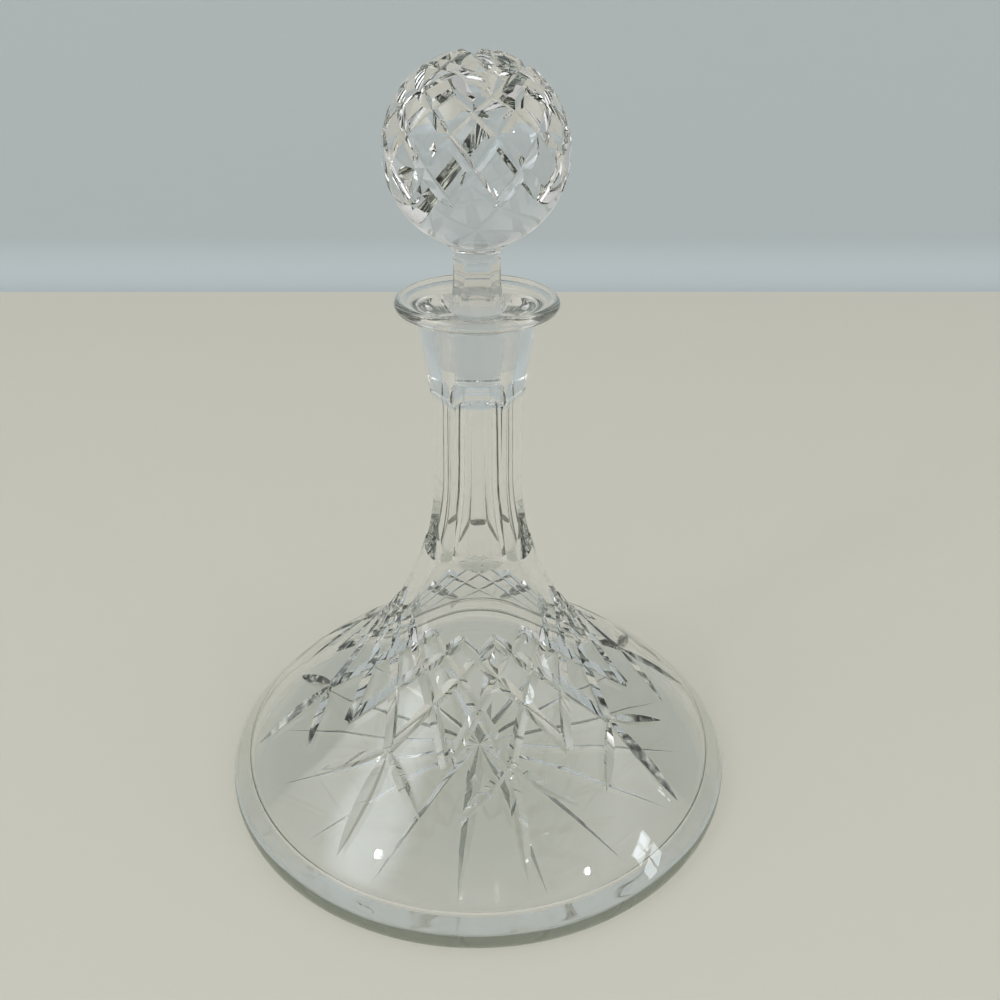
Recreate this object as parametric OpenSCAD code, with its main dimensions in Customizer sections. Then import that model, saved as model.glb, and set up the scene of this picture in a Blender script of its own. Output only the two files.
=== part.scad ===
// Ships decanter: a broad, low cut-glass vessel and its loose ground-glass ball stopper.
// Millimetres, +Z up, origin at the centre of the base. The front of the object faces -Y.
// Turns are in degrees about +Z, counted from the front towards +X.

/* [Vessel outside] */
// Diameter of the base
base_d = 190; // [170:1:220]
// Roundness of the base edge
edge_r = 5; // [3:0.5:7]
// Radius of the convex shoulder above the base edge
dome_r = 200; // [180:5:220]
// Length of the straight stretch between the convex shoulder and the flare
side_len = 10; // [8:0.5:14]
// Radius of the concave flare between shoulder and neck
flare_r = 110; // [102:1:118]
// Diameter of the neck before its panels are cut
neck_d = 30; // [28:0.5:33]
// Height at which the flare becomes the straight neck
flare_top_h = 127; // [122:1:132]
// Height at which the neck starts to widen into the stopper socket
socket_foot_h = 151; // [146:0.5:156]
// Diameter of the socket under the lip
socket_d = 37.4; // [34:0.2:42]
// Height of the top of the lip
vessel_h = 186.3; // [180:0.5:196]
// Diameter of the lip
lip_d = 52; // [48:0.5:58]
// Thickness of the lip's rounded edge
lip_t = 3.9; // [3:0.1:5]
// Radius of the cove under the lip
cove_r = 4.5; // [2.5:0.5:5]

/* [Vessel inside] */
// Wall of the shoulder, measured square to it
wall_t = 3.2; // [2.6:0.1:4.5]
// Thickness of the floor
floor_t = 6; // [5:0.5:9]
// Radius of the corner between floor and shoulder
cavity_corner_r = 3.5; // [2:0.5:6]
// Radius of the flare inside the vessel
flare_inside_r = 110; // [102:1:118]
// Diameter of the bore at the foot of the neck
bore_foot_d = 15.8; // [15.2:0.1:18]
// Depth of the dish inside the lip
dish_depth = 4; // [2.5:0.1:5]

/* [Neck panels] */
// Number of flat panels round the neck
panel_n = 6; // [6:2:8]
// Distance across two opposite panels
panel_flats = 25.7; // [24.5:0.1:25.9]
// How far below the top of the flare a panel leaves it
panel_drop = 30.5; // [26:0.5:34]
// Height at which a panel runs out in the socket
panel_top_h = 157; // [153:0.5:161]
// Radius of a panel's lower end
panel_low_r = 20; // [14:1:24]
// Radius of a panel's upper end
panel_top_r = 9; // [6:0.5:12]
// Turn of the first panel
panel_turn = 1.5; // [-30:0.5:30]

/* [Shoulder cuts] */
// Number of leaf fans round the shoulder
fan_n = 8; // [6:1:10]
// Turn of the first fan
fan_turn = 11; // [-45:0.5:45]
// Height of the top points of the diamond lattice
lattice_top_h = 74; // [68:0.5:78]
// Height at which the lattice ends in the fans
fan_h = 41.9; // [40:0.1:46]
// Depth of a lattice groove at its ends
lattice_depth = 1; // [0.6:0.1:1.4]
// Height of the tip of a fan's middle leaf
middle_tip_h = 17.7; // [14:0.1:22]
// Height of the tip of a fan's side leaf
side_tip_h = 30.4; // [26:0.1:34]
// Turn from a fan to the tip of its side leaf
side_tip_turn = 18; // [14:0.5:20]
// Depth of a leaf at its heart
leaf_depth = 1.2; // [0.8:0.1:1.5]
// Width of a leaf at its heart
leaf_width = 3.2; // [2.4:0.1:4]

/* [Base star] */
// Number of rays of the star under the base
star_n = 16; // [8:2:24]
// Radius of the star's tips
star_tip_r = 78; // [50:1:82]
// Radius at which neighbouring rays meet
star_notch_r = 16; // [8:0.5:24]
// Depth of the star at its centre
star_depth = 2; // [1:0.1:3]
// Turn of the first ray
star_turn = -5.5; // [-11:0.5:11]

/* [Stopper] */
// Diameter of the ball
ball_d = 55.5; // [50:0.5:62]
// Height of the ball's centre above the lip
ball_rise = 43.2; // [41:0.2:48]
// Diameter of the stem before its panels are cut
stem_d = 14.6; // [13.6:0.1:16]
// Distance across two opposite panels of the stem
stem_flats = 12.9; // [12.4:0.1:13.4]
// Diameter of the collar under the ball
collar_d = 19.4; // [18:0.2:21]
// Diameter of the ground peg at the mouth
peg_top_d = 17.8; // [16.8:0.1:19]
// Diameter of the ground peg at its lower end
peg_end_d = 14.8; // [14.2:0.1:15.4]
// Length of the ground peg
peg_len = 22; // [19:0.5:25]
// Gap between the ground peg and its seat
ground_gap = 0.05; // [0.02:0.01:0.1]
// Bevel round the end of the peg
peg_bevel = 0.8; // [0.3:0.1:1.2]

/* [Ball cuts] */
// Number of points of the star on the ball
ball_star_n = 6; // [6:2:8]
// Turn of the first point of the ball's star
ball_turn = 13; // [-30:0.5:30]
// Latitude of the star's points, where the ball's lattice starts
ball_lattice_top = 42; // [38:0.5:46]
// Latitude at which the ball's lattice ends, below the ball's middle
ball_lattice_low = 19; // [14:0.5:24]
// Depth of the grooves on the ball
ball_groove_depth = 1.4; // [0.8:0.1:1.6]
// Depth of the star's lines at the top of the ball
ball_star_depth = 1.9; // [1.5:0.1:2.3]

/* [Hidden] */
$fn = 128;

glass_tint = [0.86, 0.90, 0.89, 0.45];
ground_tint = [0.80, 0.84, 0.85, 0.60];

// Half the opening angle of every V-edged cut
vee_half = 52;
// How far a cutter stands out of the surface that it cuts
cut_over = 3;
// How far a lattice groove runs past the crossing at its end
groove_overrun = 0.6;
// Share of a leaf's length between the fan's centre and the leaf's heart
leaf_heart = 0.42;
// How far a leaf's cutter stands out of the surface, low enough to clear the flare above it
leaf_over = 1.1;
// Longest straight run of a groove on the ball, as an angle at the ball's centre
groove_run_angle = 17;
// How far the ground seat runs on below the peg
seat_run_on = 1.5;
// Step from the ground seat to the bore below it
seat_step = 0.02;
// How far the curves and straight sides of the section lap where they run into each other
blend_lap = 0.02;
// How far the convex shoulder runs on under the straight side, as an angle
dome_run_on = 1.5;
// How much deeper the grooves that lean one way are, so that they pass under the others
lattice_step = 0.06;
// Share of the radius of a neck panel's end that lies along the panel
panel_end_share = 0.65;
// How much further every second panel runs, so that neighbours don't end in one point
panel_step = 0.12;
// Turn by which a fan's middle leaf is set aside, so that the three leaves don't meet in one point
leaf_step_turn = 0.15;
// How much deeper each further set of grooves on the ball is cut
ball_groove_step = 0.03;
// How far each further set of grooves on the ball runs past its ends, as an angle
ball_overrun = 0.25;
// How far below the ball's centre the star's lines are struck from, so that they run out at their ends
ball_star_sink = 3;
// How far the star's cutter reaches below the base
star_over = 0.5;
// Facets of the large circles whose arcs form the shoulder
arc_fn = 720;
// How far the stopper keeps the peg's width above the mouth
stem_foot_rise = 0.8;
// Radius of the curve from the peg to the stem
stem_foot_flare = 40;
// Radius of the curve from the stem to the collar
collar_flare = 4;
// Height of the straight edge of the collar
collar_edge = 0.4;
// How far the collar reaches into the ball
collar_lap = 7;
// How far above the curve at the stem's foot the stem panels start to follow it
stem_panel_gap = 0.5;
// Radius of the curve by which the stem panels follow the stem down to the peg
stem_panel_low_r = 30;
// Radius of the stem panels' upper ends
stem_panel_top_r = 2;

base_r = base_d / 2;
neck_r = neck_d / 2;
lip_r = lip_d / 2;
lip_edge = lip_t / 2;
mouth_h = vessel_h - dish_depth;
cove_foot_h = vessel_h - lip_t - cove_r;
panel_low_h = flare_top_h - panel_drop;

// Outer shoulder: a dome tangent to the edge rounding, a straight side, and the flare up to the neck
edge_centre = [base_r - edge_r, edge_r];
flare_centre = [neck_r + flare_r, flare_top_h];
centre_line = flare_centre - edge_centre;
centre_gap = norm(centre_line);
dome_reach = dome_r - edge_r;
flare_reach = norm([dome_r + flare_r, side_len]);
dome_along = (dome_reach ^ 2 - flare_reach ^ 2 + centre_gap ^ 2) / (2 * centre_gap);
dome_aside = sqrt(dome_reach ^ 2 - dome_along ^ 2);
dome_centre = edge_centre
    + (dome_along * centre_line + dome_aside * [-centre_line.y, centre_line.x]) / centre_gap;
dome_line = flare_centre - dome_centre;
side_angle = atan2(dome_line.y, dome_line.x) - asin(side_len / norm(dome_line));
side_out = [cos(side_angle), sin(side_angle)];
side_low = dome_centre + dome_r * side_out;
side_top = flare_centre - flare_r * side_out;

// Inner shoulder: the same dome and side moved in by the wall, with their own corner and flare
dome_inside_r = dome_r - wall_t;
corner_h = floor_t + cavity_corner_r;
corner_reach = dome_inside_r - cavity_corner_r;
corner_centre = [dome_centre.x + sqrt(corner_reach ^ 2 - (corner_h - dome_centre.y) ^ 2), corner_h];
bore_foot_r = bore_foot_d / 2;
inflare_x = bore_foot_r + flare_inside_r;
inflare_h = (side_low * side_out - wall_t + flare_inside_r - side_out.x * inflare_x) / side_out.y;
inflare_centre = [inflare_x, inflare_h];

// Ground seat of the stopper
peg_top_r = peg_top_d / 2;
peg_end_r = peg_end_d / 2;
peg_end_h = mouth_h - peg_len;
peg_taper = (peg_top_r - peg_end_r) / peg_len;
mouth_r = peg_top_r + ground_gap;
seat_end_h = peg_end_h - seat_run_on;
seat_end_r = peg_end_r + ground_gap - peg_taper * seat_run_on;
bore_top_r = seat_end_r - seat_step;

// Ball and stem
ball_r = ball_d / 2;
ball_h = vessel_h + ball_rise;
stem_r = stem_d / 2;
collar_r = collar_d / 2;
collar_h = ball_h - sqrt(ball_r ^ 2 - collar_r ^ 2) - collar_edge;
collar_bulge = stem_r + collar_flare - collar_r;
collar_low_h = collar_h - sqrt(collar_flare ^ 2 - collar_bulge ^ 2);
foot_bulge = stem_r + stem_foot_flare - peg_top_r;
foot_top_h = mouth_h + stem_foot_rise + sqrt(stem_foot_flare ^ 2 - foot_bulge ^ 2);

// Radius of the outer surface at a height between the base edge and the neck
function surface_r(h) =
    h < side_low.y ? dome_centre.x + sqrt(dome_r ^ 2 - (h - dome_centre.y) ^ 2)
    : h < side_top.y ? side_low.x - (h - side_low.y) * side_out.y / side_out.x
    : flare_centre.x - sqrt(flare_r ^ 2 - (flare_top_h - h) ^ 2);

// Outward slope of the outer surface at a height, as parts along the radius and along Z
function surface_out(h) =
    h < side_low.y ? ([surface_r(h), h] - dome_centre) / dome_r
    : h < side_top.y ? side_out
    : (flare_centre - [surface_r(h), h]) / flare_r;

// Point of the outer surface, and the direction square to the surface there
function on_surface(turn, h) = [surface_r(h) * sin(turn), -surface_r(h) * cos(turn), h];
function out_of_surface(turn, h) =
    [surface_out(h).x * sin(turn), -surface_out(h).x * cos(turn), surface_out(h).y];

function unit(v) = v / norm(v);

// Puts children, built along +X with +Z outwards, at a point with the given directions
module frame_at(origin, along, outward) {
    across = unit(cross(outward, along));
    up = cross(along, across);
    multmatrix([
        [along.x, across.x, up.x, origin.x],
        [along.y, across.y, up.y, origin.y],
        [along.z, across.z, up.z, origin.z],
        [0, 0, 0, 1],
    ]) children();
}

// Puts children, built towards +X, at a turn
module toward(turn) {
    rotate([0, 0, turn - 90]) children();
}

// V section with its edge at the origin, opening towards +Y
module vee(depth) {
    reach = depth + cut_over;
    polygon([[0, 0], [reach * tan(vee_half), reach], [-reach * tan(vee_half), reach]]);
}

// Straight V groove between two points of the outer surface
module straight_groove(from, to, outward, depth) {
    run = norm(to - from) + 2 * groove_overrun;
    frame_at((from + to) / 2, unit(to - from), outward)
        translate([-run / 2, 0, -depth])
            rotate([90, 0, 90])
                linear_extrude(run) vee(depth);
}

// Leaf cut: a kite-shaped pit with its deepest point nearer the first end
module leaf_cut(from, to, outward) {
    run = norm(to - from);
    deep = run * leaf_heart;
    spread = (leaf_depth + leaf_over) / leaf_depth;
    kite = [[-deep, 0], [0, leaf_width / 2], [run - deep, 0], [0, -leaf_width / 2]];
    rim = [for (p = kite) [spread * p.x, spread * p.y, leaf_over]];
    frame_at(from + deep * unit(to - from), unit(to - from), outward)
        polyhedron(concat([[0, 0, -leaf_depth]], rim),
            [[0, 2, 1], [0, 3, 2], [0, 4, 3], [0, 1, 4], [1, 2, 3, 4]]);
}

// Flat cut across a round stem: radial section of the cutter, rounded at its two ends
module panel_section(flat_r, low_h, low_r, top_h, top_r, reach) {
    intersection() {
        translate([flat_r + low_r, low_h]) circle(low_r);
        translate([flat_r, low_h - low_r]) square([2 * low_r, low_r]);
    }
    translate([flat_r + top_r, top_h]) circle(top_r);
    translate([flat_r, low_h]) square([reach, top_h - low_h]);
}

module panel_cut(turn, width) {
    toward(turn)
        rotate([90, 0, 0])
            linear_extrude(width, center = true) children();
}

// Section of the shoulder, outside or inside: corner rounding, dome and straight side, up to the flare
module shoulder_section(floor_h, corner, corner_r, dome, flare, flare_radius) {
    corner_out = unit(corner - dome_centre);
    run_on = [cos(side_angle + dome_run_on), sin(side_angle + dome_run_on)];
    start = dome_centre + (dome - 2 * blend_lap) * side_out;
    end = flare - (flare_radius - blend_lap) * side_out;
    translate(corner) circle(corner_r);
    intersection() {
        translate(dome_centre) circle(dome - blend_lap, $fn = arc_fn);
        polygon([corner, corner + (corner_r + cut_over) * corner_out,
            dome_centre + (dome + cut_over) * run_on, dome_centre + (dome - cut_over) * run_on]);
    }
    difference() {
        polygon([[0, floor_h], [corner.x, floor_h], corner, start, end, [end.x, flare.y], [0, flare.y]]);
        translate(flare) circle(flare_radius, $fn = arc_fn);
    }
}

module vessel_section() {
    shoulder_section(0, edge_centre, edge_r, dome_r, flare_centre, flare_r);
    translate([0, flare_top_h]) square([neck_r, socket_foot_h - flare_top_h]);
    polygon([[0, socket_foot_h], [neck_r, socket_foot_h],
        [socket_d / 2, cove_foot_h], [0, cove_foot_h]]);
    difference() {
        translate([0, cove_foot_h]) square([socket_d / 2 + cove_r, cove_r]);
        translate([socket_d / 2 + cove_r, cove_foot_h]) circle(cove_r);
    }
    translate([lip_r - lip_edge, vessel_h - lip_edge]) circle(lip_edge);
    translate([0, vessel_h - lip_t]) square([lip_r - lip_edge, lip_t]);
}

module cavity_section() {
    shoulder_section(floor_t, corner_centre, cavity_corner_r, dome_inside_r, inflare_centre, flare_inside_r);
    polygon([[0, inflare_h], [bore_foot_r, inflare_h],
        [bore_top_r, seat_end_h], [seat_end_r, seat_end_h], [mouth_r, mouth_h],
        [lip_r - lip_edge, vessel_h], [lip_r - lip_edge, vessel_h + cut_over],
        [0, vessel_h + cut_over]]);
}

// Ring of flat panels round a stem of the given diameter
module panels(stem, flats, low_h, low_r, top_h, top_r) {
    for (i = [0 : panel_n - 1]) {
        longer = i % 2 * panel_step;
        panel_cut(panel_turn + i * 360 / panel_n, stem)
            panel_section(flats / 2, low_h - longer, low_r, top_h + longer, top_r, stem);
    }
}

module neck_panels() {
    panels(neck_d, panel_flats, panel_low_h + panel_end_share * panel_low_r, panel_low_r,
        panel_top_h - panel_end_share * panel_top_r, panel_top_r);
}

module shoulder_lattice() {
    step = 180 / fan_n;
    span = 360 / fan_n;
    mid_h = (lattice_top_h + fan_h) / 2;
    for (i = [0 : 2 * fan_n - 1], side = [-1, 1]) {
        turn = fan_turn + i * step;
        straight_groove(on_surface(turn, lattice_top_h), on_surface(turn + side * span, fan_h),
            out_of_surface(turn + side * span / 2, mid_h), lattice_depth + side * lattice_step / 2);
    }
}

module leaf_fans() {
    for (i = [0 : fan_n - 1]) {
        turn = fan_turn + i * 360 / fan_n;
        heart = on_surface(turn, fan_h);
        middle_turn = turn + leaf_step_turn;
        leaf_cut(on_surface(middle_turn, fan_h), on_surface(middle_turn, middle_tip_h),
            out_of_surface(middle_turn, fan_h));
        for (side = [-1, 1])
            leaf_cut(heart, on_surface(turn + side * side_tip_turn, side_tip_h),
                out_of_surface(turn + side * side_tip_turn / 2, side_tip_h));
    }
}

// Star under the base: a shallow pyramid on a star outline, carried on a little below the base
module base_star() {
    spread = (star_depth + star_over) / star_depth;
    rim = [for (i = [0 : 2 * star_n - 1])
        let (r = spread * (i % 2 == 0 ? star_tip_r : star_notch_r),
            turn = star_turn + i * 180 / star_n)
        [r * sin(turn), -r * cos(turn), -star_over]];
    count = len(rim);
    polyhedron(concat(rim, [[0, 0, star_depth], [0, 0, -star_over]]),
        concat(
            [for (i = [0 : count - 1]) [(i + 1) % count, i, count]],
            [for (i = [0 : count - 1]) [i, (i + 1) % count, count + 1]]));
}

function ball_point(turn, lat) = [cos(lat) * sin(turn), -cos(lat) * cos(turn), sin(lat)];

// V groove in short straight runs, struck from the ball's centre or from a point sunk below it
// The rank of the set that a groove belongs to sets how much deeper it is and how far it runs on
module ball_line(from, to, rank, depth, sink = 0) {
    pole = unit(cross(from, to));
    side = cross(pole, from);
    over = ball_overrun * (rank + 1);
    arc = acos(from * to) + 2 * over;
    steps = ceil(arc / groove_run_angle);
    edge = depth + rank * ball_groove_step;
    reach = edge + cut_over;
    wing = reach * tan(vee_half);
    angles = [for (i = [0 : steps]) arc * i / steps - over];
    points = [for (angle = angles, p = [[0, 0], [reach, wing], [reach, -wing]])
        (ball_r + sink - edge + p.x) * (cos(angle) * from + sin(angle) * side) + p.y * pole];
    sides = [for (i = [0 : steps - 1], j = [0 : 2])
        let (k = (j + 1) % 3) [3 * i + j, 3 * i + 3 + j, 3 * i + 3 + k, 3 * i + k]];
    translate([0, 0, ball_h - sink])
        polyhedron(points, concat(sides, [[0, 1, 2], [3 * steps + 2, 3 * steps + 1, 3 * steps]]));
}

module ball_lattice() {
    count = 2 * ball_star_n;
    step = 360 / count;
    for (i = [0 : count - 1], side = [0, 1]) {
        turn = ball_turn + i * step;
        ball_line(ball_point(turn, ball_lattice_top),
            ball_point(turn + (4 * side - 2) * step, -ball_lattice_low), side, ball_groove_depth);
    }
}

// Star on the ball: lines over the pole, and lines that join every second point
module ball_star() {
    step = 360 / ball_star_n;
    end_lat = atan2(ball_r * sin(ball_lattice_top) + ball_star_sink, ball_r * cos(ball_lattice_top));
    for (i = [0 : ball_star_n / 2 - 1])
        ball_line(ball_point(ball_turn + i * step, end_lat),
            ball_point(ball_turn + i * step + 180, end_lat), i + 5, ball_star_depth, ball_star_sink);
    for (i = [0 : ball_star_n - 1])
        ball_line(ball_point(ball_turn + i * step, ball_lattice_top),
            ball_point(ball_turn + (i + 2) * step, ball_lattice_top), i % 3 + 2, ball_groove_depth);
}

module stopper_section() {
    difference() {
        polygon([[0, peg_end_h], [peg_end_r - peg_bevel, peg_end_h],
            [peg_end_r + peg_taper * peg_bevel, peg_end_h + peg_bevel],
            [peg_top_r, mouth_h], [peg_top_r, foot_top_h], [0, foot_top_h]]);
        translate([stem_r + stem_foot_flare, foot_top_h]) circle(stem_foot_flare, $fn = arc_fn);
    }
    translate([0, foot_top_h]) square([stem_r, collar_low_h - foot_top_h]);
    difference() {
        translate([0, collar_low_h]) square([collar_r, collar_h + collar_lap - collar_low_h]);
        translate([stem_r + collar_flare, collar_low_h]) circle(collar_flare);
    }
}

module stem_panels() {
    panels(stem_d, stem_flats, foot_top_h + stem_panel_gap, stem_panel_low_r,
        collar_low_h - stem_panel_top_r, stem_panel_top_r);
}

module decanter() {
    color(glass_tint)
        difference() {
            rotate_extrude() vessel_section();
            rotate_extrude() cavity_section();
            neck_panels();
            shoulder_lattice();
            leaf_fans();
            base_star();
        }
}

module stopper() {
    color(ground_tint)
        difference() {
            union() {
                rotate_extrude() stopper_section();
                translate([0, 0, ball_h]) sphere(ball_r);
            }
            stem_panels();
            ball_lattice();
            ball_star();
        }
}

decanter();
stopper();
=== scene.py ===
"""Ships decanter: a cut-glass vessel and its ball stopper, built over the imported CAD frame.

Sizes are in millimetres until a mesh is made. Turns are in degrees about +Z,
from the front (-Y) towards +X, and rises are in degrees above the level.
"""
import math

import bmesh
import bpy
from mathutils import Matrix, Vector

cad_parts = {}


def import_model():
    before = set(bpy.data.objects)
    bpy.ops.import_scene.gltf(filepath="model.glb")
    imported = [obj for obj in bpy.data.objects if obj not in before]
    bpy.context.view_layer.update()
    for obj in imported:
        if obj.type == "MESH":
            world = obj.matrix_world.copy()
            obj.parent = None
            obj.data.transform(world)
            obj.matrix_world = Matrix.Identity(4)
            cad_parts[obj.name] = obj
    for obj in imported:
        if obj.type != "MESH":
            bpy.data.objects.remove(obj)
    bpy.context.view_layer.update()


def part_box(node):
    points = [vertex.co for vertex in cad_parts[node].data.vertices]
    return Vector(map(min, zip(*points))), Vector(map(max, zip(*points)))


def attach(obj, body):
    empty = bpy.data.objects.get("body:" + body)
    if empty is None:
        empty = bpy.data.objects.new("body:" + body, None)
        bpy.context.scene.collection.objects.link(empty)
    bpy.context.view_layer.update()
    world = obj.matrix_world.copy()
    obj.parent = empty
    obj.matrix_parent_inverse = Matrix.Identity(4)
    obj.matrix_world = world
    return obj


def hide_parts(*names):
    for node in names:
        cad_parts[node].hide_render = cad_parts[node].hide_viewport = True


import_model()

MM = 0.001
SEGMENTS = 360

# Vessel, outside
vessel_low, vessel_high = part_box("decanter")
base_r = min(-vessel_low.x, -vessel_low.y, vessel_high.x, vessel_high.y) / MM
vessel_h = vessel_high.z / MM
edge_r = 5
dome_r = 200
side_len = 10
flare_r = 110
neck_r = 15
flare_top_h = 127
socket_foot_h = 151
socket_r = 18.7
lip_r = 26
lip_t = 3.9
cove_r = 4.5

# Vessel, inside
wall_t = 3.2
floor_t = 6
corner_r = 3.5
bore_foot_r = 7.9
dish_depth = 4

# Neck panels
panel_n = 6
panel_turn = 1.5
panel_flat_r = 12.85
panel_low_h, panel_low_r = 103.5, 8
sweep_drop = 1
panel_top_h, panel_top_r = 151.15, 9

# Shoulder cuts. Grooves that cross differ in depth by a hair, so that their beds don't coincide
fan_n = 8
fan_turn = 11
fan_h = 41.9
lattice_top_h = 74
lattice_depth = 1.7
lattice_overrun = 0.6
lattice_stagger = 0.02
middle_tip_h = 17.7
side_tip_h = 30.4
side_tip_turn = 18
middle_leaf_depth, side_leaf_depth = 2.0, 1.7
leaf_heart = 0.42

# Star under the base
star_n = 16
star_turn = -5.5
star_tip_r, star_notch_r = 78, 16
star_depth = 2.3
star_swell_r, star_swell_turn, star_swell_depth = 56, 1.95, 1.15
star_lap = 0.02

# Stopper
ball_r = 27.75
ball_rise = 43.2
stem_r = 7.3
stem_flat_r = 6.45
stem_panel_low_r, stem_panel_top_r = 30, 2
stem_panel_gap = 0.5
stem_foot_rise = 0.8
stem_foot_flare = 40
collar_r = 9.7
collar_edge = 0.4
collar_flare = 4
peg_top_r, peg_end_r = 8.9, 7.4
peg_len = 22
peg_bevel = 0.8

# Ground seat
ground_gap = 0.05
seat_run_on = 1.5
seat_step = 0.02

# Where the grinding shows: how far from the peg's ends, how far beyond its radius, and on how level a face
ground_low, ground_top = 3.5, 2
ground_reach = 1
ground_tilt = 0.5

# Ball cuts. Lattice ends are rises from the ball's centre, and crossing grooves differ as on the shoulder
ball_star_n = 6
ball_turn = 13
ball_lattice_top = 42
ball_lattice_low = -19
ball_groove_depth = 1.4
ball_groove_overrun = 1.0
ball_star_depth = 2.35
ball_star_end = 1.0
ball_stagger = 0.01

# V-edged wheel: half its angle, how far a cutter stands out of the glass, and the steps along a cut
wheel_angle = 52
cut_over = 1.2
path_steps = 28

# Angle in degrees from which an edge is crisp
sharp_angle = 14

# Mesh steps: millimetres along straight runs, degrees along arcs
long_step, short_step, side_step = 3, 2, 1.5
dome_step, flare_step, ball_step, round_step, lip_step = 0.4, 0.8, 1.2, 6, 9
sweep_step, panel_step, stem_panel_step = 1, 3, 1.5

# Clear and ground glass: colours, and the share of lamplight that passes squarely and at a slant
glass_ior = 1.53
vessel_colour = (0.985, 0.985, 0.98)
stopper_colour = (0.91, 0.91, 0.905)
ground_colour = (0.93, 0.95, 0.955)
clear_passed, ground_passed = (0.93, 0.94, 0.93), (0.85, 0.87, 0.87)
slant_passed = (0.84, 0.85, 0.84)

# Light caught in thick glass after this many reflections is painted: olive grey low down, glints above
most_reflections = 3.5
painted_depths_colour = (0.28, 0.29, 0.235)
painted_depths_low_h, painted_depths_top_h = edge_r, 3 * edge_r

# Painted glints: scale of their noise, and their brightness at rising values of it
painted_glint_tint = (1, 1.03, 0.92)
painted_glint_detail = 2
vessel_painted_glints = (180, ((0.38, 0.03), (0.5, 0.2), (0.66, 0.65)))
ball_painted_glints = (260, ((0.40, 0.015), (0.5, 0.22), (0.62, 0.85)))

# Surface of the glass: waves of hand work, scratches under the base, rings of the ground seat
wave_scale, wave_detail, wave_strength, wave_height = 40, 1, 0.25, 0.6
wear_h, scratch_scale, scratch_detail = 0.3, 420, 5
scratch_low, scratch_top, worn_roughness = 0.4, 0.7, 0.05
ring_scale, ring_detail, ring_stretch, ring_strength, ring_height = 180, 3, 14, 0.15, 0.1
ground_smoothest, ground_roughest = 0.32, 0.62

# Stage
floor_colour = (0.655, 0.63, 0.55)
backdrop_colour = (0.49, 0.54, 0.55)
cloth_roughness, cloth_shine = 0.9, 0.1
stage_reach = 3000
floor_drop = 0.05
backdrop_y, backdrop_bend, backdrop_h = 600, 40, 1500
bend_step = 9

# Sky: its colour, and its brightness at the sine of the rise above the horizon
sky_tint = (1, 1, 1)
sky_levels = ((0.03, 0.40), (0.20, 0.66), (0.55, 1.46), (0.92, 0.44))

# Lamps and window: turn and rise as seen from the object, distance, size and power
daylight, lamplight = (0.84, 0.93, 1), (1, 1, 1)
lamp_target = (0, 0, 100)
lamp_distance = 1700
left_lamp_place, left_lamp_size, left_lamp_power = (-51, 37.5), (60, 60), 3
right_lamp_place, right_lamp_size, right_lamp_power = (49.5, 34), (50, 40), 1
pane_turns, pane_rises = (71.2, 76.6), (20.2, 24.6)
pane_distance, pane_size, pane_power = 1800, (132, 102), 0.24

# Soft glow of a second window in the sky, and the angles from its middle at which it starts and is full
glow_place = (-64, 42)
glow_edge, glow_core = 20, 6
glow_level = 2.0

# Camera, with its angles in radians and its lens as a share of the sensor's width
camera_place = (0.4, -308.0, 283.9)
camera_yaw, camera_pitch, camera_roll = 0.02333, 0.50538, 0.00695
sensor_w, lens_share = 36, 1.01477
clip_near = 10

ball_h = vessel_h + ball_rise
mouth_h = vessel_h - dish_depth
peg_end_h = mouth_h - peg_len
peg_taper = (peg_top_r - peg_end_r) / peg_len
seat_end_h = peg_end_h - seat_run_on
vee_slope = math.tan(math.radians(wheel_angle))


def polar(centre, radius, angle):
    """Point of the section, as (radius, height), at an angle round a centre."""
    return Vector((centre[0] + radius * math.cos(math.radians(angle)),
                   centre[1] + radius * math.sin(math.radians(angle))))


def arc(centre, radius, start, end, step):
    """Points of the section along a circle."""
    count = max(2, math.ceil(abs(end - start) / step))
    return [polar(centre, radius, start + (end - start) * i / count) for i in range(count + 1)]


def line(start, end, step):
    """Points of the section along a straight run, without its end."""
    start, end = Vector(start), Vector(end)
    count = max(1, math.ceil((end - start).length / step))
    return [start.lerp(end, i / count) for i in range(count)]


def angle_from(centre, point):
    """Angle of the section at which a point lies from a centre."""
    return math.degrees(math.atan2(point.y - centre.y, point.x - centre.x))


def toward(turn, rise, distance=1):
    """Place in a direction, given as a turn and a rise."""
    t, a = math.radians(turn), math.radians(rise)
    return distance * Vector((math.cos(a) * math.sin(t), -math.cos(a) * math.cos(t), math.sin(a)))


# Outer shoulder: a dome tangent to the edge rounding, a straight side, and the flare up to the neck
edge_centre = Vector((base_r - edge_r, edge_r))
flare_centre = Vector((neck_r + flare_r, flare_top_h))
between = flare_centre - edge_centre
dome_reach = dome_r - edge_r
flare_reach = math.hypot(dome_r + flare_r, side_len)
dome_along = (dome_reach ** 2 - flare_reach ** 2 + between.length ** 2) / (2 * between.length)
dome_aside = math.sqrt(dome_reach ** 2 - dome_along ** 2)
dome_shift = dome_along * between + dome_aside * Vector((-between.y, between.x))
dome_centre = edge_centre + dome_shift / between.length
dome_line = flare_centre - dome_centre
side_lean = math.asin(side_len / dome_line.length)
side_angle = math.degrees(math.atan2(dome_line.y, dome_line.x) - side_lean)
side_low = polar(dome_centre, dome_r, side_angle)
side_top = polar(flare_centre, flare_r, side_angle + 180)
side_out = (side_low - dome_centre) / dome_r

# Inner shoulder, a wall further in, with its own corner and flare
corner_h = floor_t + corner_r
corner_reach = dome_r - wall_t - corner_r
corner_x = dome_centre.x + math.sqrt(corner_reach ** 2 - (corner_h - dome_centre.y) ** 2)
corner_centre = Vector((corner_x, corner_h))
inflare_x = bore_foot_r + flare_r
inner_line = side_low.dot(side_out) - wall_t
inflare_centre = Vector((inflare_x, (inner_line + flare_r - side_out.x * inflare_x) / side_out.y))


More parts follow.
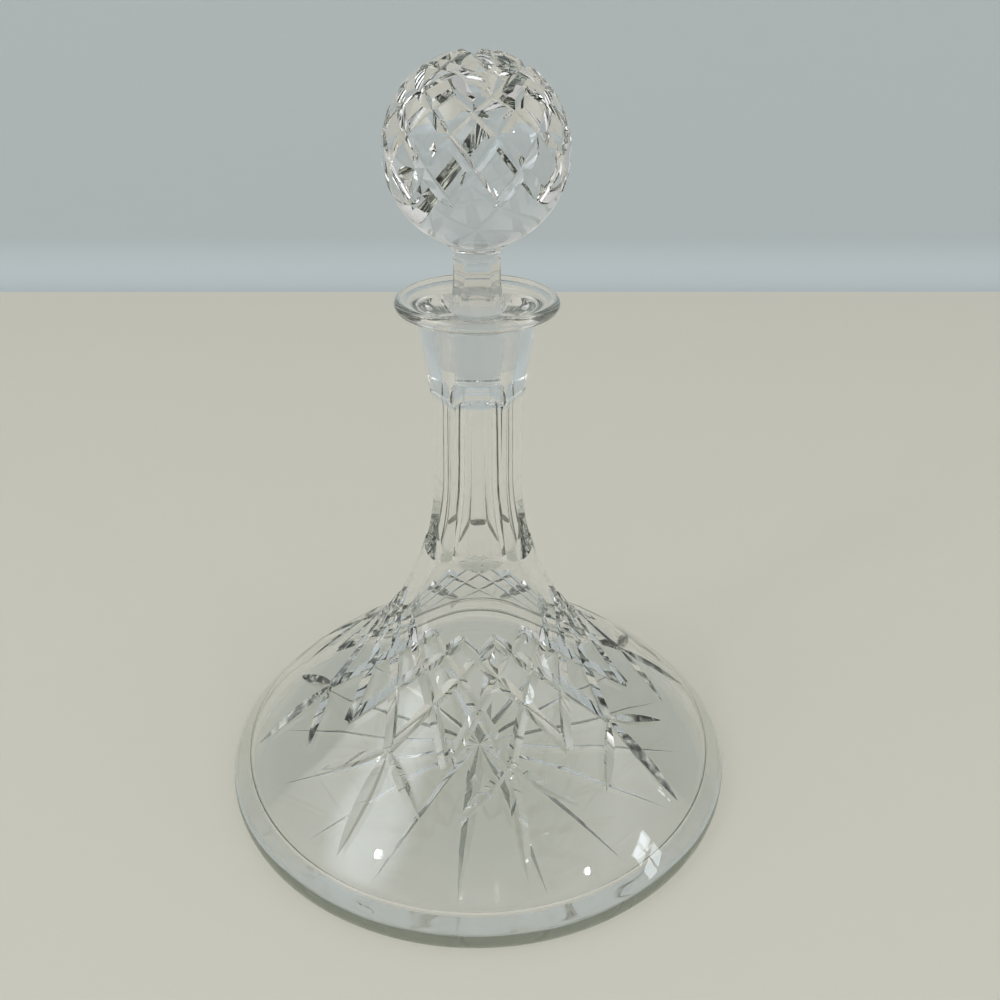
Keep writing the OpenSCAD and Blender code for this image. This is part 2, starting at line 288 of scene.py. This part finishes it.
def surface(turn, height):
    """Point of the vessel's outer surface, and the direction out of it."""
    if height < side_low.y:
        radius = dome_centre.x + math.sqrt(dome_r ** 2 - (height - dome_centre.y) ** 2)
        out = (Vector((radius, height)) - dome_centre) / dome_r
    elif height < side_top.y:
        radius = side_low.x - (height - side_low.y) * side_out.y / side_out.x
        out = side_out
    else:
        radius = flare_centre.x - math.sqrt(flare_r ** 2 - (flare_top_h - height) ** 2)
        out = (flare_centre - Vector((radius, height))) / flare_r
    s, c = math.sin(math.radians(turn)), math.cos(math.radians(turn))
    return Vector((radius * s, -radius * c, height)), Vector((out.x * s, -out.x * c, out.y))


def vessel_section():
    """Outline of the glass in section, from the axis under the base to the axis on the floor inside."""
    seat_end_r = peg_end_r + ground_gap - peg_taper * seat_run_on
    mouth_r = peg_top_r + ground_gap
    lip_edge = lip_t / 2
    lip_centre = (lip_r - lip_edge, vessel_h - lip_edge)
    cove_h = vessel_h - lip_t - cove_r
    edge_angle = angle_from(dome_centre, edge_centre)
    corner_angle = angle_from(dome_centre, corner_centre)
    points = line((0, 0), edge_centre - Vector((0, edge_r)), long_step)
    points += arc(edge_centre, edge_r, -90, edge_angle, round_step)[:-1]
    points += arc(dome_centre, dome_r, edge_angle, side_angle, dome_step)[:-1]
    points += line(side_low, side_top, side_step)
    points += arc(flare_centre, flare_r, side_angle + 180, 180, flare_step)[:-1]
    points += line((neck_r, flare_top_h), (neck_r, socket_foot_h), long_step)
    points += line((neck_r, socket_foot_h), (socket_r, cove_h), long_step)
    points += arc((socket_r + cove_r, cove_h), cove_r, 180, 90, lip_step)
    points += arc(lip_centre, lip_edge, -90, 90, lip_step)
    points += line((lip_r - lip_edge, vessel_h), (mouth_r, mouth_h), short_step)[1:]
    points += line((mouth_r, mouth_h), (seat_end_r, seat_end_h), short_step)
    points += line((seat_end_r, seat_end_h), (seat_end_r - seat_step, seat_end_h), short_step)
    points += line((seat_end_r - seat_step, seat_end_h), (bore_foot_r, inflare_centre.y), long_step)
    points += arc(inflare_centre, flare_r, 180, side_angle + 180, flare_step)
    points += arc(dome_centre, dome_r - wall_t, side_angle, corner_angle, dome_step)
    points += arc(corner_centre, corner_r, corner_angle, -90, round_step)[1:]
    points += [Vector((0, floor_t))]
    return points


def stem_heights():
    """Height at which the stem's long flare ends, and height at which its collar starts."""
    foot_bulge = stem_r + stem_foot_flare - peg_top_r
    foot_h = mouth_h + stem_foot_rise + math.sqrt(stem_foot_flare ** 2 - foot_bulge ** 2)
    collar_bulge = stem_r + collar_flare - collar_r
    collar_h = ball_h - math.sqrt(ball_r ** 2 - collar_r ** 2) - collar_edge
    return foot_h, collar_h - math.sqrt(collar_flare ** 2 - collar_bulge ** 2)


def stopper_section():
    """Outline of the stopper in section, from the axis under the peg to the top of the ball."""
    foot_h, collar_low_h = stem_heights()
    foot_centre = Vector((stem_r + stem_foot_flare, foot_h))
    collar_centre = Vector((stem_r + collar_flare, collar_low_h))
    foot_angle = math.degrees(math.acos((foot_centre.x - peg_top_r) / stem_foot_flare))
    collar_angle = math.degrees(math.acos((collar_centre.x - collar_r) / collar_flare))
    ball_angle = math.degrees(math.asin(collar_r / ball_r)) - 90
    bevel_top = (peg_end_r + peg_taper * peg_bevel, peg_end_h + peg_bevel)
    points = [Vector((0, peg_end_h)), Vector((peg_end_r - peg_bevel, peg_end_h))]
    points += line(bevel_top, (peg_top_r, mouth_h), short_step)
    points += [Vector((peg_top_r, mouth_h))]
    points += arc(foot_centre, stem_foot_flare, 180 + foot_angle, 180, sweep_step)[:-1]
    points += line((stem_r, foot_h), (stem_r, collar_low_h), short_step)
    points += arc(collar_centre, collar_flare, 180, 180 - collar_angle, round_step)
    points += arc((0, ball_h), ball_r, ball_angle, 90, ball_step)
    points[-1].x = 0
    return points


def mesh_object(name, points, faces):
    """Object in metres from points in millimetres."""
    mesh = bpy.data.meshes.new(name)
    mesh.from_pydata([p * MM for p in points], [], faces)
    mesh.update()
    piece = bpy.data.objects.new(name, mesh)
    bpy.context.scene.collection.objects.link(piece)
    return piece


def revolve(name, section):
    """Closed body of revolution from a section that starts and ends on the axis."""
    rings = section[1:-1]
    points = [Vector((0, 0, section[0].y)), Vector((0, 0, section[-1].y))]
    for ring in rings:
        for k in range(SEGMENTS):
            a = 2 * math.pi * k / SEGMENTS
            points.append(Vector((ring.x * math.cos(a), ring.x * math.sin(a), ring.y)))
    faces = []
    for k in range(SEGMENTS):
        n = (k + 1) % SEGMENTS
        last = 2 + (len(rings) - 1) * SEGMENTS
        faces.append((0, 2 + n, 2 + k))
        faces.append((1, last + k, last + n))
        for i in range(len(rings) - 1):
            row = 2 + i * SEGMENTS
            faces.append((row + k, row + n, row + SEGMENTS + n, row + SEGMENTS + k))
    return mesh_object(name, points, faces)


def vee_cutter(path, depths):
    """V-edged cutter along a path of (point, direction out of the surface), with a depth at each point."""
    points = []
    last = len(path) - 1
    for i, ((point, out), depth) in enumerate(zip(path, depths)):
        along = (path[min(i + 1, last)][0] - path[max(i - 1, 0)][0]).normalized()
        across = out.cross(along).normalized() * (depth + cut_over) * vee_slope
        points += [point - depth * out, point + cut_over * out + across, point + cut_over * out - across]
    faces = [(0, 1, 2), (3 * last, 3 * last + 2, 3 * last + 1)]
    for i in range(last):
        for j in range(3):
            k = (j + 1) % 3
            faces.append((3 * i + j, 3 * i + 3 + j, 3 * i + 3 + k, 3 * i + k))
    return points, faces


def surface_path(start, end, overrun=0.0):
    """Path on the vessel's surface under the straight line between two places, given as (turn, height)."""
    a, b = surface(*start)[0], surface(*end)[0]
    extra = overrun / (b - a).length
    path = []
    for i in range(path_steps + 1):
        p = a.lerp(b, -extra + (1 + 2 * extra) * i / path_steps)
        path.append(surface(math.degrees(math.atan2(p.x, -p.y)), p.z))
    return path


def leaf_cutter(start, end, leaf_depth):
    """Leaf: a lens-shaped cut, deepest at its heart, that runs out at both ends."""
    depths = []
    for i in range(path_steps + 1):
        share = i / path_steps
        reach = leaf_heart if share < leaf_heart else 1 - leaf_heart
        depths.append(leaf_depth * (1 - ((share - leaf_heart) / reach) ** 2))
    return vee_cutter(surface_path(start, end), depths)


def ball_cutter(start, end, depth, end_depth=None):
    """V groove along the great circle between two directions from the ball's centre.

    It has its depth in the middle, and all along where no depth is given for its ends.
    """
    side = start.cross(end).cross(start).normalized()
    span = math.degrees(start.angle(end))
    path = []
    for i in range(path_steps + 1):
        a = math.radians(-ball_groove_overrun + (span + 2 * ball_groove_overrun) * i / path_steps)
        out = math.cos(a) * start + math.sin(a) * side
        path.append((Vector((0, 0, ball_h)) + ball_r * out, out))
    loss = depth - (depth if end_depth is None else end_depth)
    return vee_cutter(path, [depth - loss * (2 * i / path_steps - 1) ** 2 for i in range(path_steps + 1)])


def panel_cutter(turn, section, reach):
    """Flat cut across a round stem. Its section, from lower to upper end, is carried on outwards."""
    out_x = section[-1].x + reach
    section = [Vector((out_x, section[0].y))] + section + [Vector((out_x, section[-1].y))]
    turning = Matrix.Rotation(math.radians(turn - 90), 3, "Z")
    count = len(section)
    points = [turning @ Vector((p.x, side * reach / 2, p.y)) for side in (-1, 1) for p in section]
    faces = [tuple(range(count)), tuple(range(2 * count - 1, count - 1, -1))]
    faces += [(i, i + count, (i + 1) % count + count, (i + 1) % count) for i in range(count)]
    return points, faces


def panel_ring(section, reach):
    """Cutters for a ring of panels, in two groups whose panels stand clear of each other."""
    turns = [panel_turn + i * 360 / panel_n for i in range(panel_n)]
    return [[panel_cutter(turn, section, reach) for turn in turns[first::2]] for first in (0, 1)]


def star_cutter():
    """Star under the base: grooves that meet in the middle, swell, and run out in a point."""
    count = 4 * star_n
    half = 180 / star_n
    ridges, outline = [], []
    for i in range(star_n):
        turn = star_turn + 2 * i * half
        ridges.append((turn, star_swell_r))
        outline += [(turn - star_swell_turn, star_swell_r), (turn, star_tip_r),
                    (turn + star_swell_turn, star_swell_r), (turn + half, star_notch_r)]
    points = [Vector((0, 0, star_depth)), Vector((0, 0, -cut_over))]
    for places, height in ((ridges, star_swell_depth), (outline, -star_lap), (outline, -cut_over)):
        for turn, r in places:
            t = math.radians(turn)
            points.append(Vector((r * math.sin(t), -r * math.cos(t), height)))
    faces = []
    upper = 2 + star_n
    lower = upper + count
    for i in range(star_n):
        ridge = 2 + i
        before = upper + (4 * i - 1) % count
        left, tip, right, notch = (upper + 4 * i + k for k in range(4))
        faces += [(0, before, ridge), (ridge, before, left), (ridge, left, tip)]
        faces += [(ridge, tip, right), (ridge, right, notch), (0, ridge, notch)]
    for i in range(count):
        n = (i + 1) % count
        faces += [(upper + i, upper + n, lower + n, lower + i), (1, lower + i, lower + n)]
    return points, faces


def carve(piece, groups):
    """Cuts groups of cutters out of a piece. Cutters of one group stand clear of each other."""
    for group in groups:
        points, faces = [], []
        for more_points, more_faces in group:
            faces += [tuple(len(points) + i for i in face) for face in more_faces]
            points += more_points
        tool = mesh_object("cutter", points, faces)
        form = bmesh.new()
        form.from_mesh(tool.data)
        bmesh.ops.recalc_face_normals(form, faces=form.faces)
        form.to_mesh(tool.data)
        form.free()
        cut = piece.modifiers.new("cut", "BOOLEAN")
        cut.operation = "DIFFERENCE"
        cut.solver = "MANIFOLD"
        cut.object = tool
        bpy.context.view_layer.update()
        carved = bpy.data.meshes.new_from_object(piece.evaluated_get(bpy.context.evaluated_depsgraph_get()))
        piece.modifiers.clear()
        piece.data = carved
        bpy.data.objects.remove(tool)


def neck_cuts():
    """Panels that follow the flare at the depth that they have in the neck, and end in a short curve."""
    sweep_r = flare_r / math.cos(math.pi / panel_n)
    sweep_centre = Vector((panel_flat_r + sweep_r, flare_top_h - sweep_drop))
    fall = sweep_centre.y - panel_low_h
    end_x = sweep_centre.x - math.sqrt((sweep_r - panel_low_r) ** 2 - fall ** 2)
    end_centre = Vector((end_x, panel_low_h))
    end_angle = angle_from(sweep_centre, end_centre) % 360
    section = arc(end_centre, panel_low_r, 270, end_angle, round_step)[:-1]
    section += arc(sweep_centre, sweep_r, end_angle, 180, sweep_step)
    section += arc((panel_flat_r + panel_top_r, panel_top_h), panel_top_r, 180, 90, panel_step)
    return panel_ring(section, 2 * neck_r)


def shoulder_cuts():
    """Diamond lattice of grooves leaning both ways, and under it fans of three leaves."""
    step, span = 180 / fan_n, 360 / fan_n
    groups = []
    for lean in (-1, 1):
        turns = [fan_turn + i * step for i in range(2 * fan_n)]
        paths = [surface_path((t, lattice_top_h), (t + lean * span, fan_h), lattice_overrun) for t in turns]
        depth = lattice_depth + lattice_stagger * lean
        groups.append([vee_cutter(p, [depth] * len(p)) for p in paths])
    fans = [fan_turn + i * span for i in range(fan_n)]
    groups.append([leaf_cutter((t, fan_h), (t, middle_tip_h), middle_leaf_depth) for t in fans])
    for lean in (-1, 1):
        groups.append([leaf_cutter((t, fan_h), (t + lean * side_tip_turn, side_tip_h), side_leaf_depth)
                       for t in fans])
    return groups


def stem_cuts():
    """Panels that follow the stem's long flare down to the peg."""
    foot_h, collar_low_h = stem_heights()
    low_centre = (stem_flat_r + stem_panel_low_r, foot_h + stem_panel_gap)
    low_angle = 180 + math.degrees(math.asin((foot_h - mouth_h) / stem_panel_low_r))
    top_centre = (stem_flat_r + stem_panel_top_r, collar_low_h - stem_panel_top_r)
    section = arc(low_centre, stem_panel_low_r, low_angle, 180, stem_panel_step)
    section += arc(top_centre, stem_panel_top_r, 180, 90, panel_step)
    return panel_ring(section, 2 * stem_r)


def ball_cuts():
    """Diamond lattice round the ball, and on its top a six-pointed star with lines over the pole."""
    step = 180 / ball_star_n
    opposite = ball_star_n // 2
    groups = []
    for lean in (-1, 1):
        depth = ball_groove_depth + ball_stagger * lean
        turns = [ball_turn + i * step for i in range(2 * ball_star_n)]
        groups.append([ball_cutter(toward(t, ball_lattice_top),
                                   toward(t + 2 * lean * step, ball_lattice_low), depth) for t in turns])
    points = [toward(ball_turn + 2 * i * step, ball_lattice_top) for i in range(ball_star_n)]
    for i in range(ball_star_n):
        depth = ball_groove_depth + 3 * ball_stagger
        groups.append([ball_cutter(points[i], points[(i + 2) % ball_star_n], depth)])
    for i in range(opposite):
        depth = ball_star_depth + i * ball_stagger
        groups.append([ball_cutter(points[i], points[i + opposite], depth, ball_star_end)])
    return groups


def cut_piece(name, section, groups):
    """Turned piece with its cuts, with smooth surfaces and crisp cut edges."""
    piece = revolve(name, section)
    carve(piece, groups)
    piece.data.shade_smooth()
    piece.data.set_sharp_from_angle(angle=math.radians(sharp_angle))
    return piece


def add(tree, kind, inputs, **settings):
    """Node with its settings. Its inputs are given numbers, colours or the outputs of other nodes."""
    node = tree.nodes.new(kind)
    for name, value in settings.items():
        setattr(node, name, value)
    for socket, value in inputs.items():
        if isinstance(value, bpy.types.NodeSocket):
            tree.links.new(value, node.inputs[socket])
        else:
            node.inputs[socket].default_value = value
    return node


def noise(tree, place, scale, detail):
    """Noise over a place on the object."""
    inputs = {"Vector": place, "Scale": scale, "Detail": detail}
    return add(tree, "ShaderNodeTexNoise", inputs).outputs["Fac"]


def spread(tree, value, start, end, low, high, **settings):
    """Value carried from one range to another."""
    inputs = {"Value": value, "From Min": start, "From Max": end, "To Min": low, "To Max": high}
    return add(tree, "ShaderNodeMapRange", inputs, **settings).outputs["Result"]


def combine(tree, operation, first, second):
    """Math on the output of a node and another output or a number."""
    return add(tree, "ShaderNodeMath", {0: first, 1: second}, operation=operation).outputs["Value"]


def blend(tree, share, first, second, how="MIX"):
    """Mix of two colours, each a colour or the output of a node."""
    inputs = {"Factor": share, "A": first, "B": second}
    return add(tree, "ShaderNodeMix", inputs, data_type="RGBA", blend_type=how).outputs["Result"]


def switch(tree, share, first, second):
    """One shader, and another in its place where the share is 1."""
    return add(tree, "ShaderNodeMixShader", {0: share, 1: first, 2: second}).outputs["Shader"]


def ramp(tree, value, stops, tint):
    """Colour ramp through stops of (position, brightness), in a tint."""
    node = add(tree, "ShaderNodeValToRGB", {"Fac": value})
    elements = node.color_ramp.elements
    for stop in stops[1:-1]:
        elements.new(stop[0])
    for element, (position, level) in zip(elements, stops):
        element.position = position
        element.color = (*(level * part for part in tint), 1)
    return node.outputs["Color"]


def bump(tree, shader, height, strength, distance):
    """Gives a shader relief from a height."""
    inputs = {"Height": height, "Strength": strength, "Distance": distance * MM}
    tree.links.new(add(tree, "ShaderNodeBump", inputs).outputs["Normal"], shader.inputs["Normal"])


def object_place(tree):
    """Place on the object, and its height."""
    place = add(tree, "ShaderNodeTexCoord", {}).outputs["Object"]
    return place, add(tree, "ShaderNodeSeparateXYZ", {0: place}).outputs["Z"]


def painted_caught_light(tree, painted_glint_look):
    """Shader that paints light caught in thick glass: painted olive grey low down, painted glints above."""
    painted_glint_scale, painted_glint_stops = painted_glint_look
    place, height = object_place(tree)
    # Painted glints from noise, giving way to painted olive grey at the foot
    painted_glints = ramp(tree, noise(tree, place, painted_glint_scale, painted_glint_detail), painted_glint_stops, painted_glint_tint)
    above_foot = spread(tree, height, painted_depths_low_h * MM, painted_depths_top_h * MM, 0, 1)
    colour = blend(tree, above_foot, (*painted_depths_colour, 1), painted_glints)
    return add(tree, "ShaderNodeBsdfDiffuse", {"Color": colour}).outputs["BSDF"]


def passed_light(tree, passed):
    """Shader for the light of lamps and floor that goes through the glass, dimmer at a slant."""
    slant = add(tree, "ShaderNodeLayerWeight", {}).outputs["Facing"]
    colour = blend(tree, slant, (*passed, 1), (*slant_passed, 1))
    return add(tree, "ShaderNodeBsdfTransparent", {"Color": colour}).outputs["BSDF"]


def base_glass(name, colour, passed, painted_glint_look):
    """Material whose glass lets the light of lamps and floor through, and its glass shader."""
    material = bpy.data.materials.new(name)
    material.use_nodes = True
    tree = material.node_tree
    shader = tree.nodes["Principled BSDF"]
    shader.inputs["Base Color"].default_value = (*colour, 1)
    shader.inputs["Transmission Weight"].default_value = 1
    shader.inputs["IOR"].default_value = glass_ior
    path = add(tree, "ShaderNodeLightPath", {}).outputs
    # Where a path has been reflected more than the most reflections, caught light is painted instead of
    # glass
    painted_depths_mask = combine(tree, "GREATER_THAN", path["Glossy Depth"], most_reflections)
    lighting = combine(tree, "MAXIMUM", path["Is Shadow Ray"], path["Is Diffuse Ray"])
    seen = switch(tree, painted_depths_mask, shader.outputs["BSDF"], painted_caught_light(tree, painted_glint_look))
    surface_shader = switch(tree, lighting, seen, passed_light(tree, passed))
    tree.links.new(surface_shader, tree.nodes["Material Output"].inputs["Surface"])
    return material, shader


def glass_material(name, colour, painted_glint_look):
    """Clear polished glass, faintly wavy as hand-worked glass is, and scratched where it stands."""
    material, shader = base_glass(name, colour, clear_passed, painted_glint_look)
    tree = material.node_tree
    place, height = object_place(tree)
    bump(tree, shader, noise(tree, place, wave_scale, wave_detail), wave_strength, wave_height)
    low = spread(tree, height, wear_h * MM, 0, 0, 1)
    worn = combine(tree, "MULTIPLY", low, noise(tree, place, scratch_scale, scratch_detail))
    roughness = spread(tree, worn, scratch_low, scratch_top, 0, worn_roughness)
    tree.links.new(roughness, shader.inputs["Roughness"])
    return material


def ground_material(name, painted_glint_look):
    """Matt ground glass, with the fine rings that the grinding leaves."""
    material, shader = base_glass(name, ground_colour, ground_passed, painted_glint_look)
    tree = material.node_tree
    place = object_place(tree)[0]
    stretched = add(tree, "ShaderNodeMapping", {"Vector": place, "Scale": (1, 1, ring_stretch)})
    rings = noise(tree, stretched.outputs["Vector"], ring_scale, ring_detail)
    roughness = spread(tree, rings, 0, 1, ground_smoothest, ground_roughest)
    tree.links.new(roughness, shader.inputs["Roughness"])
    bump(tree, shader, rings, ring_strength, ring_height)
    return material


def grind(piece):
    """Gives the ground zone of a piece, on the seat or the peg, its second material."""
    for face in piece.data.polygons:
        centre = face.center / MM
        at_height = peg_end_h + ground_low < centre.z < mouth_h - ground_top
        near_axis = math.hypot(centre.x, centre.y) < peg_top_r + ground_reach
        if at_height and near_axis and abs(face.normal.z) < ground_tilt:
            face.material_index = 1


def dress(piece, body, slot, colour, painted_glint_look):
    """Gives a piece its two kinds of glass, and ties it to its body in the frame."""
    piece.data.materials.clear()
    piece.data.polygons.foreach_set("material_index", [0] * len(piece.data.polygons))
    piece.data.materials.append(glass_material(slot, colour, painted_glint_look))
    piece.data.materials.append(ground_material(slot + "_ground", painted_glint_look))
    grind(piece)
    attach(piece, body)
    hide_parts(body)


def plain_material(name, colour):
    """Matt cloth in one colour, for the stage."""
    material = bpy.data.materials.new(name)
    material.use_nodes = True
    shader = material.node_tree.nodes["Principled BSDF"]
    shader.inputs["Base Color"].default_value = (*colour, 1)
    shader.inputs["Roughness"].default_value = cloth_roughness
    shader.inputs["Specular IOR Level"].default_value = cloth_shine
    return material


def stage():
    """Pale floor, and a pale backdrop that rises behind it."""
    floor_run = [Vector((-stage_reach, -floor_drop)), Vector((backdrop_y, -floor_drop))]
    drop_run = arc((backdrop_y, backdrop_bend), backdrop_bend, -90, 0, bend_step)
    drop_run += [Vector((backdrop_y + backdrop_bend, backdrop_h))]
    for name, run, colour in (("floor", floor_run, floor_colour), ("backdrop", drop_run, backdrop_colour)):
        points = [Vector((side * stage_reach, p.x, p.y)) for p in run for side in (-1, 1)]
        faces = [(2 * i, 2 * i + 1, 2 * i + 3, 2 * i + 2) for i in range(len(run) - 1)]
        sheet = mesh_object(name, points, faces)
        sheet.data.shade_smooth()
        sheet.data.materials.append(plain_material(name + "_cloth", colour))


def world():
    """Soft room light, brightest half-way up, with the glow of a window on the left."""
    scene = bpy.context.scene
    scene.world = bpy.data.worlds.new("studio")
    scene.world.use_nodes = True
    tree = scene.world.node_tree
    way = add(tree, "ShaderNodeTexCoord", {}).outputs["Generated"]
    rise = add(tree, "ShaderNodeSeparateXYZ", {0: way}).outputs["Z"]
    sky = ramp(tree, rise, sky_levels, sky_tint)
    bearing = add(tree, "ShaderNodeVectorMath", {0: way, 1: toward(*glow_place)}, operation="DOT_PRODUCT")
    start, full = math.cos(math.radians(glow_edge)), math.cos(math.radians(glow_core))
    glow = spread(tree, bearing.outputs["Value"], start, full, 0, 1, interpolation_type="SMOOTHSTEP")
    glow_colour = (*(glow_level * part for part in daylight), 1)
    tree.links.new(blend(tree, glow, sky, glow_colour, "ADD"), tree.nodes["Background"].inputs["Color"])
    scene.view_settings.view_transform = "Standard"


def area_light(name, place, size, power, shape, colour):
    """Soft lamp, aimed at the object."""
    lamp = bpy.data.lights.new(name, "AREA")
    lamp.shape = shape
    lamp.size, lamp.size_y = size[0] * MM, size[1] * MM
    lamp.energy = power
    lamp.color = colour
    holder = bpy.data.objects.new(name, lamp)
    holder.location = place * MM
    holder.rotation_euler = (Vector(lamp_target) - place).to_track_quat("-Z", "Y").to_euler()
    bpy.context.scene.collection.objects.link(holder)


def lamps():
    """The four panes of a window on the right, and a lamp on each side."""
    for turn in pane_turns:
        for rise in pane_rises:
            place = toward(turn, rise, pane_distance)
            area_light("window_pane", place, pane_size, pane_power, "RECTANGLE", daylight)
    for name, place, size, power in (("left_lamp", left_lamp_place, left_lamp_size, left_lamp_power),
                                     ("right_lamp", right_lamp_place, right_lamp_size, right_lamp_power)):
        area_light(name, toward(*place, lamp_distance), size, power, "ELLIPSE", lamplight)


def camera():
    """Camera at the photograph's place, looking down over the lip."""
    ahead = math.cos(camera_pitch)
    forward = Vector((math.sin(camera_yaw) * ahead, math.cos(camera_yaw) * ahead, -math.sin(camera_pitch)))
    level = Vector((math.cos(camera_yaw), -math.sin(camera_yaw), 0))
    rise = level.cross(forward)
    right = math.cos(camera_roll) * level + math.sin(camera_roll) * rise
    up = math.cos(camera_roll) * rise - math.sin(camera_roll) * level
    data = bpy.data.cameras.new("camera")
    data.sensor_width = sensor_w
    data.lens = sensor_w * lens_share
    data.clip_start = clip_near * MM
    holder = bpy.data.objects.new("camera", data)
    turn = Matrix((right, up, -forward)).transposed().to_4x4()
    holder.matrix_world = Matrix.Translation(Vector(camera_place) * MM) @ turn
    bpy.context.scene.collection.objects.link(holder)
    bpy.context.scene.camera = holder


vessel = cut_piece("vessel", vessel_section(), neck_cuts() + shoulder_cuts() + [[star_cutter()]])
stopper = cut_piece("ball_stopper", stopper_section(), stem_cuts() + ball_cuts())
dress(vessel, "decanter", "vessel_glass", vessel_colour, vessel_painted_glints)
dress(stopper, "stopper", "stopper_glass", stopper_colour, ball_painted_glints)
stage()
world()
lamps()
camera()
